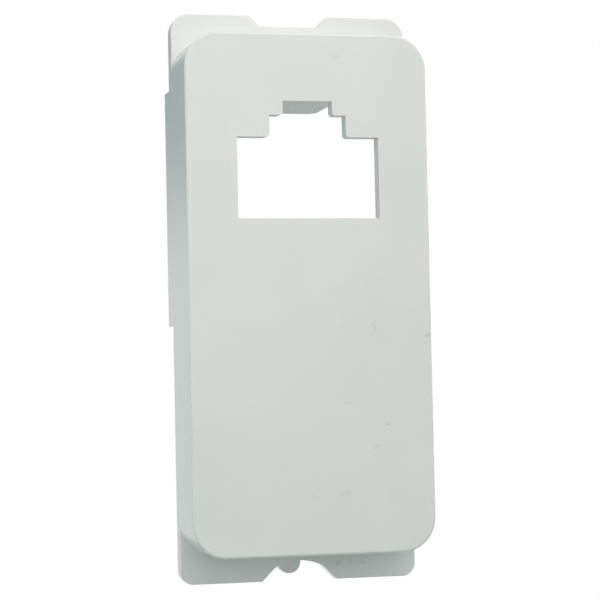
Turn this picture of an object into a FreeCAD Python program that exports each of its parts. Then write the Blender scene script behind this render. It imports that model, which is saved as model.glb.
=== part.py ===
import FreeCAD, Part
import math
import os
import Sketcher

# Module adaptor: one moulded shell that carries a modular jack in a wall plate.
# The origin is the middle of the plane of the ears' front, where the plate bears.
# +X is to the right seen from the front, +Z is up, and the face looks along -Y.

SIZES = [
    ("face_width", 21.0, "raised block, side to side"),
    ("face_height", 44.0, "raised block, top to bottom"),
    ("block_rise", 6.2, "front of the ears to the face"),
    ("corner_radius", 2.9, "corners of the raised block"),
    ("rim_radius", 0.2, "rounded edge around the face"),
    ("wall", 1.3, "face and side walls"),
    ("side_setback", 0.06, "sides of the flange and skirts, in from the block's sides"),
    ("flange_height", 49.1, "end to end over both ears"),
    ("flange_thickness", 1.3, "ears, front to back"),
    ("upper_ear_radius", 1.6, "outer corners of the upper ear"),
    ("lower_ear_radius", 1.15, "outer corners of the lower ear"),
    ("ear_edge_radius", 0.1, "rounded front edge of the ears"),
    ("upper_notch_mouth", 7.0, "width of the upper notch at the ear's edge"),
    ("upper_notch_depth", 0.95, "notch in the upper ear, with ends at 45 degrees"),
    ("lower_notch_mouth", 6.65, "width of the lower notch at the ear's edge"),
    ("lower_notch_depth", 1.2, "notch in the lower ear, with ends at 45 degrees"),
    ("arch_rise", 0.53, "arch above the root of the lower notch"),
    ("window_base", 6.3, "face centre up to the sill of the window"),
    ("window_width", 12.3, "plug opening of the window"),
    ("window_height", 6.9, "plug opening of the window"),
    ("step_width", 6.65, "middle step of the window"),
    ("step_height", 1.85, "middle step of the window"),
    ("key_width", 4.3, "top step of the window"),
    ("key_height", 1.2, "top step of the window"),
    ("step_radius", 0.3, "outward corners of the steps"),
    ("tongue_width", 5.4, "tongue over the top step"),
    ("tongue_reach", 6.8, "tongue, from the back of the face"),
    ("tongue_thickness", 1.2, "tongue over the top step"),
    ("tongue_radius", 0.8, "free corners of the tongue"),
    ("skirt_depth", 2.05, "side skirts, behind the flange"),
    ("skirt_top", 18.0, "face centre up to the skirts' upper end"),
    ("skirt_length", 20.35, "side skirts, top to bottom"),
    ("tab_width", 4.0, "tab that carries the snap nub"),
    ("nub_gap", 2.4, "back of the flange to the nub"),
    ("nub_length", 1.2, "nub, front to back"),
    ("nub_radius", 1.0, "round end of the nub"),
    ("nub_drop", 1.22, "underside of the tab down to the middle of the nub's round end"),
]

doc = FreeCAD.newDocument("module_adaptor")
sheet = doc.addObject("Spreadsheet::Sheet", "Sizes")
for row, (alias, value, note) in enumerate(SIZES, start=1):
    sheet.set(f"A{row}", alias)
    sheet.set(f"B{row}", str(value))
    sheet.set(f"C{row}", note)
    sheet.setAlias(f"B{row}", alias)
doc.recompute()

body = doc.addObject("PartDesign::Body", "Adaptor")
body.Label = "adaptor_body"
upright_plane = next(plane for plane in body.Origin.OriginFeatures if plane.Role == "XZ_Plane")

# Points closer than this, in mm, are taken as the same.
SAME = 1e-4

# Places that several features share, as formulas in the sheet's names.
half_face = "Sizes.face_height / 2"
half_flange = "Sizes.flange_height / 2"
flange_width = "Sizes.face_width - 2 * Sizes.side_setback"
cavity_width = "Sizes.face_width - 2 * Sizes.wall"
cavity_top = f"{half_face} - Sizes.wall"
cavity_floor = f"-{half_face} + Sizes.wall"
face_back = "Sizes.block_rise - Sizes.wall"
flange_back = "-Sizes.flange_thickness"
window_top = "Sizes.window_base + Sizes.window_height"
step_top = f"{window_top} + Sizes.step_height"
key_top = f"{step_top} + Sizes.key_height"
upper_root = f"{half_flange} - Sizes.upper_notch_depth"
upper_root_width = "Sizes.upper_notch_mouth - 2 * Sizes.upper_notch_depth"
lower_root = f"-{half_flange} + Sizes.lower_notch_depth"
lower_root_width = "Sizes.lower_notch_mouth - 2 * Sizes.lower_notch_depth"
arch_radius = f"(({lower_root_width})^2 / 4 + Sizes.arch_rise^2) / (2 * Sizes.arch_rise)"
arch_centre = f"{lower_root} + Sizes.arch_rise - {arch_radius}"


def sketch_at(name, forward):
    """Upright sketch that lies forward of the ears' front, towards the viewer, by a formula."""
    sketch = body.newObject("Sketcher::SketchObject", name)
    sketch.AttachmentSupport = (upright_plane, "")
    sketch.MapMode = "FlatFace"
    sketch.setExpression("AttachmentOffset.Base.z", forward)
    return sketch


def dimension(sketch, kind, points, start, formula):
    """Dimension in a sketch, bound to a formula."""
    index = sketch.addConstraint(Sketcher.Constraint(kind, *points, start))
    sketch.setExpression(f"Constraints[{index}]", formula)


def mirrored_outline(sketch, levels, arc_centre=None):
    """Closed outline, alike left and right, through levels of (full width, height) from the bottom up.

    Each level is one corner on the right and its mirror image. With the height of its centre given,
    the top side is an arc. The first shape is only rough: the dimensions bring it to size.
    """
    count = len(levels)
    right = [FreeCAD.Vector(count - i, i, 0) for i in range(count)]
    left = [FreeCAD.Vector(-point.x, point.y, 0) for point in reversed(right)]
    corners = right + left
    for i, corner in enumerate(corners):
        following = corners[(i + 1) % len(corners)]
        side = Part.LineSegment(corner, following)
        if arc_centre and i == count - 1:
            side = Part.Arc(corner, FreeCAD.Vector(0, corner.y + corner.x / 2, 0), following)
        sketch.addGeometry(side, False)
    for i in range(len(corners)):
        sketch.addConstraint(Sketcher.Constraint("Coincident", i, 2, (i + 1) % len(corners), 1))
    for i, (width, height) in enumerate(levels):
        right_corner = (i, 1)
        left_corner = (len(corners) - 1 - i, 1)
        sketch.addConstraint(Sketcher.Constraint("Symmetric", *left_corner, *right_corner, -2))
        dimension(sketch, "DistanceX", left_corner + right_corner, 2 * right[i].x, width)
        dimension(sketch, "DistanceY", (-1, 1) + right_corner, right[i].y, height)
    if arc_centre:
        start = sketch.Geometry[count - 1].Center.y
        dimension(sketch, "DistanceY", (-1, 1, count - 1, 3), start, arc_centre)


def rounded_outline(sketch, width, bottom, top, lower_radius, upper_radius):
    """Upright rectangle between two heights, alike left and right, with round corners."""
    turns = ((1, -1, -90), (1, 1, 0), (-1, 1, 90), (-1, -1, 180))
    arcs = []
    for x, y, start in turns:
        circle = Part.Circle(FreeCAD.Vector(2 * x, 2 * y, 0), FreeCAD.Vector(0, 0, 1), 1)
        arcs.append(Part.ArcOfCircle(circle, math.radians(start), math.radians(start + 90)))
    for before, arc in zip(arcs[-1:] + arcs, arcs):
        sketch.addGeometry(Part.LineSegment(before.EndPoint, arc.StartPoint), False)
        sketch.addGeometry(arc, False)
    lower, lower_right, right, upper_right, upper, upper_left, left, lower_left = sides = range(8)
    for side in sides:
        sketch.addConstraint(Sketcher.Constraint("Tangent", side, 2, (side + 1) % len(sides), 1))
    sketch.addConstraint(Sketcher.Constraint("Equal", lower_right, lower_left))
    sketch.addConstraint(Sketcher.Constraint("Equal", upper_right, upper_left))
    sketch.addConstraint(Sketcher.Constraint("Symmetric", lower, 1, lower, 2, -2))
    sketch.addConstraint(Sketcher.Constraint("Vertical", right))
    sketch.addConstraint(Sketcher.Constraint("Horizontal", upper))
    sketch.addConstraint(Sketcher.Constraint("Vertical", left))
    dimension(sketch, "Radius", (lower_right,), 1, lower_radius)
    dimension(sketch, "Radius", (upper_right,), 1, upper_radius)
    dimension(sketch, "DistanceX", (left, 1, right, 1), 6, width)
    dimension(sketch, "DistanceY", (-1, 1, lower, 1), -3, bottom)
    dimension(sketch, "DistanceY", (-1, 1, upper, 1), 3, top)


def circle_outline(sketch, radius, height):
    """Circle on the middle line."""
    sketch.addGeometry(Part.Circle(FreeCAD.Vector(0, -1, 0), FreeCAD.Vector(0, 0, 1), 1), False)
    sketch.addConstraint(Sketcher.Constraint("PointOnObject", 0, 3, -2))
    dimension(sketch, "Radius", (0,), 1, radius)
    dimension(sketch, "DistanceY", (-1, 1, 0, 3), -1, height)


def extruded(kind, name, sketch, length, forward=False):
    """Pad or Pocket of a sketch, towards the back unless forward is set."""
    before = body.Tip.Shape.Volume if body.Tip else 0
    feature = body.newObject(f"PartDesign::{kind}", name)
    feature.Profile = sketch
    feature.setExpression("Length", length)
    feature.Reversed = (kind == "Pad") != forward
    sketch.Visibility = False
    doc.recompute()
    if (feature.Shape.Volume > before) != (kind == "Pad"):
        raise RuntimeError(f"{name} points away from the solid")
    return feature


def rounded(name, base, places, radius):
    """Fillet of every edge of a feature whose ends all lie at one place, a dict of x, y or z values."""
    edges = []
    for number, edge in enumerate(base.Shape.Edges, start=1):
        ends = [vertex.Point for vertex in edge.Vertexes]
        for place in places:
            if all(abs(getattr(end, axis) - place[axis]) < SAME for end in ends for axis in place):
                edges.append(f"Edge{number}")
    feature = body.newObject("PartDesign::Fillet", name)
    feature.Base = (base, edges)
    feature.setExpression("Radius", radius)
    doc.recompute()
    return feature


def both_sides(width, **others):
    """Two places, half the width to each side of the middle."""
    return [dict(others, x=side * width / 2) for side in (-1, 1)]


# The flange, whose ends are the ears, with a rounded front edge and a notch in the middle of each ear.
# The lower notch is arched.
sketch = sketch_at("FlangeOutline", "0")
ear_radii = ("Sizes.lower_ear_radius", "Sizes.upper_ear_radius")
rounded_outline(sketch, flange_width, f"-{half_flange}", half_flange, *ear_radii)
flange = extruded("Pad", "Flange", sketch, "Sizes.flange_thickness")
rounded("EarEdges", flange, [{"y": 0}], "Sizes.ear_edge_radius")
sketch = sketch_at("UpperNotchOutline", "0")
mirrored_outline(sketch, [(upper_root_width, upper_root), ("Sizes.upper_notch_mouth", half_flange)])
extruded("Pocket", "UpperNotch", sketch, "Sizes.flange_thickness")
sketch = sketch_at("LowerNotchOutline", "0")
levels = [("Sizes.lower_notch_mouth", f"-{half_flange}"), (lower_root_width, lower_root)]
mirrored_outline(sketch, levels, arch_centre)
extruded("Pocket", "LowerNotch", sketch, "Sizes.flange_thickness")

# The raised block, solid at first. It covers the flange's rounded edge, except on the ears.
sketch = sketch_at("BlockOutline", "-Sizes.ear_edge_radius")
block_radius = "Sizes.corner_radius"
rounded_outline(sketch, "Sizes.face_width", f"-{half_face}", half_face, block_radius, block_radius)
block = extruded("Pad", "Block", sketch, "Sizes.block_rise + Sizes.ear_edge_radius", forward=True)
rounded("BlockRim", block, [{"y": -sheet.block_rise}], "Sizes.rim_radius")

# The skirts behind the flange, one block until the hollow leaves its two sides.
sketch = sketch_at("SkirtOutline", flange_back)
skirt_bottom = "Sizes.skirt_top - Sizes.skirt_length"
mirrored_outline(sketch, [(flange_width, skirt_bottom), (flange_width, "Sizes.skirt_top")])
extruded("Pad", "Skirts", sketch, "Sizes.skirt_depth")

# The hollow, open at the back, as deep as the back of the face wall.
sketch = sketch_at("HollowOutline", face_back)
hollow_radius = f"{block_radius} - Sizes.wall"
rounded_outline(sketch, cavity_width, cavity_floor, cavity_top, hollow_radius, hollow_radius)
extruded("Pocket", "Hollow", sketch, f"{face_back} + Sizes.flange_thickness + Sizes.skirt_depth")

# The stepped window for the jack, through the face wall.
sketch = sketch_at("WindowOutline", "Sizes.block_rise")
mirrored_outline(sketch, [
    ("Sizes.window_width", "Sizes.window_base"),
    ("Sizes.window_width", window_top),
    ("Sizes.step_width", window_top),
    ("Sizes.step_width", step_top),
    ("Sizes.key_width", step_top),
    ("Sizes.key_width", key_top),
])
window = extruded("Pocket", "Window", sketch, "Sizes.wall")
step_base = sheet.window_base + sheet.window_height
corners = both_sides(sheet.step_width, z=step_base)
corners += both_sides(sheet.key_width, z=step_base + sheet.step_height)
rounded("WindowCorners", window, corners, "Sizes.step_radius")

# The tongue over the top step, reaching back from the face wall.
sketch = sketch_at("TongueOutline", face_back)
tongue_top = f"{key_top} + Sizes.tongue_thickness"
mirrored_outline(sketch, [("Sizes.tongue_width", key_top), ("Sizes.tongue_width", tongue_top)])
tongue = extruded("Pad", "Tongue", sketch, "Sizes.tongue_reach")
tongue_end = sheet.wall + sheet.tongue_reach - sheet.block_rise
rounded("TongueCorners", tongue, both_sides(sheet.tongue_width, y=tongue_end), "Sizes.tongue_radius")

# The tab that carries on the block's bottom wall behind the lower ear, and the nub under its end.
sketch = sketch_at("TabOutline", "0")
mirrored_outline(sketch, [("Sizes.tab_width", f"-{half_face}"), ("Sizes.tab_width", cavity_floor)])
extruded("Pad", "Tab", sketch, "Sizes.flange_thickness + Sizes.nub_gap + Sizes.nub_length")
nub_front = f"{flange_back} - Sizes.nub_gap"
nub_width = "2 * Sizes.nub_radius"
nub_axis = f"-{half_face} - Sizes.nub_drop"
sketch = sketch_at("NubNeckOutline", nub_front)
mirrored_outline(sketch, [(nub_width, nub_axis), (nub_width, f"-{half_face}")])
extruded("Pad", "NubNeck", sketch, "Sizes.nub_length")
sketch = sketch_at("NubOutline", nub_front)
circle_outline(sketch, "Sizes.nub_radius", nub_axis)
extruded("Pad", "Nub", sketch, "Sizes.nub_length")

for item in doc.Objects:
    if "Invalid" in item.State or "Error" in item.State:
        raise RuntimeError(f"{item.Label} did not build")
shape = body.Shape
if shape.isNull() or not shape.isValid() or len(shape.Solids) != 1:
    raise RuntimeError("the adaptor is not one sound solid")
os.makedirs("parts", exist_ok=True)
shape.exportStep(f"parts/{body.Label}.step")
print(f"{body.Label}: {shape.Volume:.1f} mm3, box {shape.BoundBox}")
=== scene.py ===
# %% [markdown]
# # A moulded module adaptor
# The part is a small white insert that holds a modular jack in a wall plate. It is one injection
# moulding with no moving piece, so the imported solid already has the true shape. This lesson gives
# it a camera, a moulded plastic and soft studio light.

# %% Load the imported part
import math
import bpy
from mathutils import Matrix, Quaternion, Vector

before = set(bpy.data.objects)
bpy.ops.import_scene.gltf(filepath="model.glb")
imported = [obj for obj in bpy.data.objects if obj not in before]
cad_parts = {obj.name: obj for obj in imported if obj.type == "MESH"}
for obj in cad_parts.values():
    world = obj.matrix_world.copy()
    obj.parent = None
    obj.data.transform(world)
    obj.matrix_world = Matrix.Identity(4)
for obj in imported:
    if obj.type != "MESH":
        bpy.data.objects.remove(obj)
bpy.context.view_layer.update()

MM = 0.001
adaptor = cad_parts["adaptor_body"]

# %% [markdown]
# ## The camera
# The view is from the front, a little to the left of the part and a little below its middle. A long
# lens from 18 cm away keeps the sides nearly parallel. The small roll is that of a camera held by
# hand. A tracking constraint could aim the camera too, but a tracking quaternion leaves nothing
# behind in the scene, and a turn about the camera's own axis then adds the roll.

# %% Place the camera
CAMERA_PLACE = Vector((-43.84, -176.91, -8.55)) * MM
CAMERA_AIM = Vector((0.555, 0.0, -0.289)) * MM
CAMERA_ROLL = math.radians(-1.226)
LENS_IN_MM = 125.886
NEAREST_SEEN = 10 * MM
camera = bpy.data.objects.new("camera", bpy.data.cameras.new("camera"))
bpy.context.scene.collection.objects.link(camera)
bpy.context.scene.camera = camera
camera.data.lens = LENS_IN_MM
camera.data.clip_start = NEAREST_SEEN
camera.location = CAMERA_PLACE
camera.rotation_mode = "QUATERNION"
aimed = (CAMERA_AIM - CAMERA_PLACE).to_track_quat("-Z", "Y")
camera.rotation_quaternion = aimed @ Quaternion((0, 0, 1), CAMERA_ROLL)
print("camera distance in mm:", round((CAMERA_AIM - CAMERA_PLACE).length / MM, 1))

# %% [markdown]
# ## Helpers for materials
# A colour is written as it looks on a screen, and the renderer needs it in linear light, so one
# function converts it. Another adds a node, sets its properties, and gives each input either a
# plain value or a link from another node's output. A third empties a node tree, so that it holds
# only what the lesson puts there.

# %% Define the colour and node helpers
def linear(hex_colour):
    """Linear RGBA of an sRGB hex colour."""
    parts = [int(hex_colour[i:i + 2], 16) / 255 for i in (1, 3, 5)]
    return [c / 12.92 if c <= 0.04045 else ((c + 0.055) / 1.055) ** 2.4 for c in parts] + [1.0]


def add_node(tree, kind, settings=(), **inputs):
    """New node. Inputs are named by socket, with _ for a space, or in_0 for the first socket."""
    node = tree.nodes.new(kind)
    for name, value in dict(settings).items():
        setattr(node, name, value)
    for name, value in inputs.items():
        socket = node.inputs[int(name[3:]) if name.startswith("in_") else name.replace("_", " ")]
        if isinstance(value, bpy.types.NodeSocket):
            tree.links.new(value, socket)
        else:
            socket.default_value = value
    return node


def empty_tree(owner):
    """The node tree of a material or a world, with nothing in it."""
    owner.use_nodes = True
    owner.node_tree.nodes.clear()
    return owner.node_tree


WHITE = linear("#ffffff")
print("white as linear light:", WHITE)

# %% [markdown]
# ## The plastic
# The real part is moulded ABS in cool white. The outer side of the tool is polished to a satin, so
# the eye sees an even, slightly soft surface whose weak reflections grow strong only at a grazing
# angle. One flat colour would look like paint on paper, so the finish is built up in four steps:
# a cloudy base colour, a matt inside, specks of dirt and a fine grain.
#
# The base colour comes first. The melt's flow leaves a faint cloudiness a few millimetres wide,
# and a noise that mixes two close whites gives that. The noise is read in the object's own
# coordinates, so it needs no unwrapping.

# %% Cloud the base colour
CLOUD_SIZE = 7.0
CLOUD_DARK, CLOUD_PALE = "#dfe1de", "#e9ebe8"


def per_mm(size):
    """Noise scale that gives patches of that size in millimetres."""
    return 1 / (size * MM)


abs_white = bpy.data.materials.new("moulded_white_ABS")
tree = empty_tree(abs_white)
place = add_node(tree, "ShaderNodeTexCoord").outputs["Object"]
cloud = add_node(tree, "ShaderNodeTexNoise", Vector=place, Scale=per_mm(CLOUD_SIZE), Detail=3.0)
clouded = add_node(tree, "ShaderNodeMix", {"data_type": "RGBA"}, in_0=cloud.outputs["Fac"],
                   in_6=linear(CLOUD_DARK), in_7=linear(CLOUD_PALE))
print("clouds in mm:", CLOUD_SIZE, "noise scale:", round(per_mm(CLOUD_SIZE), 1))

# %% [markdown]
# ### The matt inside
# The core of the tool, which forms the hollow and the window, is left matt. Two materials on the
# faces would show that too, but one mask keeps the moulding one plastic. The matt side is everything
# inside a box that just holds the hollow and the window's edges. A point is inside when its distance
# from the part's middle, measured in half sizes of the box, is below 1 on every axis.

# %% Tell the matt inside from the satin outside
CORE_HALF = Vector((9.25, 6.15, 20.75)) * MM
CORE_EDGE = 0.995
MATT, SATIN = 0.6, 0.18
shares = add_node(tree, "ShaderNodeVectorMath", {"operation": "DIVIDE"}, in_0=place, in_1=CORE_HALF)
reaches = add_node(tree, "ShaderNodeVectorMath", {"operation": "ABSOLUTE"}, in_0=shares.outputs[0])
axes = add_node(tree, "ShaderNodeSeparateXYZ", Vector=reaches.outputs[0])
furthest = axes.outputs["X"]
for axis in "YZ":
    furthest = add_node(tree, "ShaderNodeMath", {"operation": "MAXIMUM"},
                        in_0=furthest, in_1=axes.outputs[axis]).outputs[0]
roughness = add_node(tree, "ShaderNodeMapRange", Value=furthest, From_Min=CORE_EDGE, From_Max=1.0,
                     To_Min=MATT, To_Max=SATIN)
print("matt box in mm:", [round(2 * c / MM, 2) for c in CORE_HALF])

# %% [markdown]
# ### The specks of dirt
# Specks sit where handling left them, most on the lower half of the face and on the lower ear. A
# painted texture could hold them, but a list of places is easier to change. Each is a soft smudge a
# few tenths of a millimetre across. A small random shift of the place where a smudge is looked up
# makes its edge uneven. The strongest smudge at a point decides how much dirt is mixed in.

# %% Add the specks of dirt
# Each speck has its place in millimetres and its strength.
SPECKS = (
    ((2.65, -6.2, 20.06), 0.16), ((5.54, -6.2, -2.82), 0.20), ((10.22, -6.2, -3.64), 0.40),
    ((3.02, -6.2, -9.28), 0.20), ((6.58, -6.2, -11.13), 0.30), ((5.56, -6.2, -13.05), 0.28),
    ((-0.11, -6.2, -16.99), 0.16), ((2.67, -6.2, -16.91), 0.16), ((3.50, 0.0, -23.25), 0.50),
    ((4.60, 0.0, -23.20), 0.22), ((5.67, 0.0, -23.17), 0.34),
)
SPECK_RADIUS = 0.3 * MM
SPECK_COLOUR = "#96988f"
WOBBLE_SIZE = 0.4
WOBBLE_SHIFT = Vector((0.3, 0.3, 0.3)) * MM
wobble = add_node(tree, "ShaderNodeTexNoise", {"normalize": False}, Vector=place,
                  Scale=per_mm(WOBBLE_SIZE))
uneven = add_node(tree, "ShaderNodeVectorMath", {"operation": "MULTIPLY_ADD"},
                  in_0=wobble.outputs["Color"], in_1=WOBBLE_SHIFT, in_2=place)
dirt = None
for spot, strength in SPECKS:
    gap = add_node(tree, "ShaderNodeVectorMath", {"operation": "DISTANCE"},
                   in_0=uneven.outputs[0], in_1=Vector(spot) * MM)
    smudge = add_node(tree, "ShaderNodeMapRange", Value=gap.outputs["Value"],
                      From_Max=SPECK_RADIUS, To_Min=strength, To_Max=0.0).outputs[0]
    dirt = smudge if dirt is None else add_node(tree, "ShaderNodeMath", {"operation": "MAXIMUM"},
                                                in_0=dirt, in_1=smudge).outputs[0]
handled = add_node(tree, "ShaderNodeMix", {"data_type": "RGBA"}, in_0=dirt,
                   in_6=clouded.outputs[2], in_7=linear(SPECK_COLOUR))
print("specks:", len(SPECKS))

# %% [markdown]
# ### The grain
# Polishing leaves a fine grain in the tool, and the moulding copies it. It is far too shallow to
# model, so a bump from a noise tilts the surface a little, which softens the reflections. The
# refractive index is about 1.53, as ABS has.

# %% Add the grain and join the plastic
# The real grain is 0.05 to 0.1 mm, too fine for the picture, so it is drawn at 0.2 mm.
GRAIN_SIZE = 0.2
GRAIN_DEPTH = 0.0015 * MM
ABS_IOR = 1.53
grain = add_node(tree, "ShaderNodeTexNoise", Vector=place, Scale=per_mm(GRAIN_SIZE), Detail=2.0)
bump = add_node(tree, "ShaderNodeBump", Strength=1.0, Distance=GRAIN_DEPTH,
                Height=grain.outputs["Fac"])
plastic = add_node(tree, "ShaderNodeBsdfPrincipled", Base_Color=handled.outputs[2],
                   Roughness=roughness.outputs[0], IOR=ABS_IOR, Normal=bump.outputs["Normal"])
add_node(tree, "ShaderNodeOutputMaterial", Surface=plastic.outputs["BSDF"])
adaptor.data.materials.clear()
adaptor.data.materials.append(abs_white)
print("material:", abs_white.name, "nodes:", len(tree.nodes))

# %% [markdown]
# ## The light
# A small white part is shot in soft light. Broad panels stand in front and at both sides, a smaller
# one hangs close above, a weak one lifts what faces down, and one behind lights the back. Small
# lamps would do for the face, but satin plastic mirrors them at a grazing angle as spots that clip
# to white, and broad panels stay below that. Their tints differ slightly, as in a room where
# daylight and lamps mix.
#
# Each lamp is a square panel aimed at the part. Its power is worked out from its distance, so that
# a small panel at level 1 would make a white card facing it white.

# %% Hang the lamps
# Each lamp has its name, its place and its width in millimetres, its level and its tint.
LAMPS = (
    ("front", (-47, -268, 127), 320, 0.435, "#f8fffe"),
    ("left", (-312, -55, 45), 320, 0.356, "#ebfffd"),
    ("top", (0, -70, 121), 170, 0.360, "#ffdfe2"),
    ("right", (215, -150, 184), 400, 0.565, "#f2fffd"),
    ("below", (0, -272, -127), 320, 0.020, "#ffffff"),
    ("back", (40, 335, 60), 320, 0.420, "#f4fbff"),
)
for name, spot, width, level, tint in LAMPS:
    lamp = bpy.data.lights.new(name, "AREA")
    lamp.size = width * MM
    lamp.color = linear(tint)[:3]
    holder = bpy.data.objects.new(name, lamp)
    bpy.context.scene.collection.objects.link(holder)
    holder.location = Vector(spot) * MM
    holder.rotation_mode = "QUATERNION"
    holder.rotation_quaternion = (-holder.location).to_track_quat("-Z", "Y")
    holder.visible_camera = False
    lamp.energy = level * math.pi ** 2 * holder.location.length ** 2
    print("lamp", name, "power in W:", round(lamp.energy, 2))

# %% [markdown]
# ## The background
# The background is plain white. A white world alone would light the part from all round and wash
# its shape out. So the world is white only for the eye and for reflections, and gives the part just
# a weak light from everywhere, which keeps the shaded places open.

# %% Make the surrounding light
FILL_LEVEL = 0.10


def seen_directly(tree):
    """1 for rays from the camera and for those that reflections and glass send on."""
    path = add_node(tree, "ShaderNodeLightPath")
    seen = path.outputs["Is Camera Ray"]
    for kind in ("Is Glossy Ray", "Is Transmission Ray"):
        seen = add_node(tree, "ShaderNodeMath", {"operation": "MAXIMUM"},
                        in_0=seen, in_1=path.outputs[kind]).outputs[0]
    return seen


world = bpy.data.worlds.new("studio")
bpy.context.scene.world = world
tree = empty_tree(world)
fill = add_node(tree, "ShaderNodeBackground", Color=WHITE, Strength=FILL_LEVEL)
shown = add_node(tree, "ShaderNodeBackground", Color=WHITE, Strength=1.0)
both = add_node(tree, "ShaderNodeMixShader", in_0=seen_directly(tree),
                in_1=fill.outputs[0], in_2=shown.outputs[0])
add_node(tree, "ShaderNodeOutputWorld", Surface=both.outputs[0])
print("light from all round:", FILL_LEVEL)

# %% [markdown]
# ## The floor
# The part is held in the air, as in its plate, and a white table lies well below it. Near the part
# the table is mostly a matt surface that takes the shadow, with a share of plain white for the eye.
# Further out that share grows until the table is one with the background, so no horizon shows. A
# curved backdrop would hide the horizon too, but it would have to be turned for every view.

# %% Lay the floor
FLOOR_HEIGHT = -220 * MM
FLOOR_HALF = 3.0
FADE_START, FADE_END = 0.30, 0.80
NEAR_GLOW = 0.3


def stage_sheet(name, corners, material):
    """Flat sheet through the four corners, as part of the stage."""
    mesh = bpy.data.meshes.new(name)
    mesh.from_pydata(corners, [], [(0, 1, 2, 3)])
    sheet = bpy.data.objects.new(name, mesh)
    sheet.data.materials.append(material)
    bpy.context.scene.collection.objects.link(sheet)
    return sheet


table_white = bpy.data.materials.new("matt_white_table")
tree = empty_tree(table_white)
place = add_node(tree, "ShaderNodeTexCoord").outputs["Object"]
reach = add_node(tree, "ShaderNodeVectorMath", {"operation": "LENGTH"}, in_0=place)
far = add_node(tree, "ShaderNodeMapRange", {"interpolation_type": "SMOOTHSTEP"},
               Value=reach.outputs["Value"], From_Min=FADE_START, From_Max=FADE_END,
               To_Min=NEAR_GLOW)
share = add_node(tree, "ShaderNodeMath", {"operation": "MULTIPLY"},
                 in_0=far.outputs[0], in_1=seen_directly(tree))
matt = add_node(tree, "ShaderNodeBsdfDiffuse", Color=linear("#f2f2f2"))
glow = add_node(tree, "ShaderNodeEmission", Color=WHITE, Strength=1.0)
mixed = add_node(tree, "ShaderNodeMixShader", in_0=share.outputs[0],
                 in_1=matt.outputs[0], in_2=glow.outputs[0])
add_node(tree, "ShaderNodeOutputMaterial", Surface=mixed.outputs[0])
floor_corners = [(x * FLOOR_HALF, y * FLOOR_HALF, FLOOR_HEIGHT)
                 for x, y in ((-1, -1), (1, -1), (1, 1), (-1, 1))]
floor = stage_sheet("floor", floor_corners, table_white)
print("floor below the part's middle in mm:", round(-FLOOR_HEIGHT / MM))

# %% [markdown]
# ## The flag
# The left side of the part is seen at a grazing angle, where even plain plastic mirrors what stands
# behind it. Photographers put a card there, called a flag, to give such a side its shape. This one
# is pale below, has a cool grey band above, and is pale again at its top, where the block's rounded
# corner mirrors it. More lamps could not do this, because they light the face as well. Only
# reflections see the card, so it neither hides the background nor takes light from the lamps.

# %% Set up the flag
FLAG_BACK = 120 * MM
FLAG_HALF, FLAG_LOW, FLAG_HIGH = 400 * MM, -200 * MM, 400 * MM
FLAG_PALE, FLAG_GREY = "#f4f7f6", "#939ca1"
GREY_STARTS, GREY_FULL = 6 * MM, 34 * MM
PALE_STARTS, PALE_FULL = 46 * MM, 60 * MM
graded_card = bpy.data.materials.new("graded_card")
tree = empty_tree(graded_card)
place = add_node(tree, "ShaderNodeTexCoord").outputs["Object"]
height = add_node(tree, "ShaderNodeSeparateXYZ", Vector=place).outputs["Z"]
rising = add_node(tree, "ShaderNodeMapRange", {"interpolation_type": "SMOOTHSTEP"}, Value=height,
                  From_Min=GREY_STARTS, From_Max=GREY_FULL)
falling = add_node(tree, "ShaderNodeMapRange", {"interpolation_type": "SMOOTHSTEP"}, Value=height,
                   From_Min=PALE_STARTS, From_Max=PALE_FULL, To_Min=1.0, To_Max=0.0)
band = add_node(tree, "ShaderNodeMath", {"operation": "MULTIPLY"},
                in_0=rising.outputs[0], in_1=falling.outputs[0])
shade = add_node(tree, "ShaderNodeMix", {"data_type": "RGBA"}, in_0=band.outputs[0],
                 in_6=linear(FLAG_PALE), in_7=linear(FLAG_GREY))
glow = add_node(tree, "ShaderNodeEmission", Color=shade.outputs[2], Strength=1.0)
add_node(tree, "ShaderNodeOutputMaterial", Surface=glow.outputs[0])
flag_corners = [(-FLAG_HALF, FLAG_BACK, FLAG_LOW), (FLAG_HALF, FLAG_BACK, FLAG_LOW),
                (FLAG_HALF, FLAG_BACK, FLAG_HIGH), (-FLAG_HALF, FLAG_BACK, FLAG_HIGH)]
flag = stage_sheet("flag", flag_corners, graded_card)
for ray in ("camera", "diffuse", "shadow", "transmission"):
    setattr(flag, f"visible_{ray}", False)
print("flag behind the part's middle in mm:", round(FLAG_BACK / MM))

# %% [markdown]
# ## The view
# The Standard view shows colours as they are written.

# %% Finish
bpy.context.scene.view_settings.view_transform = "Standard"
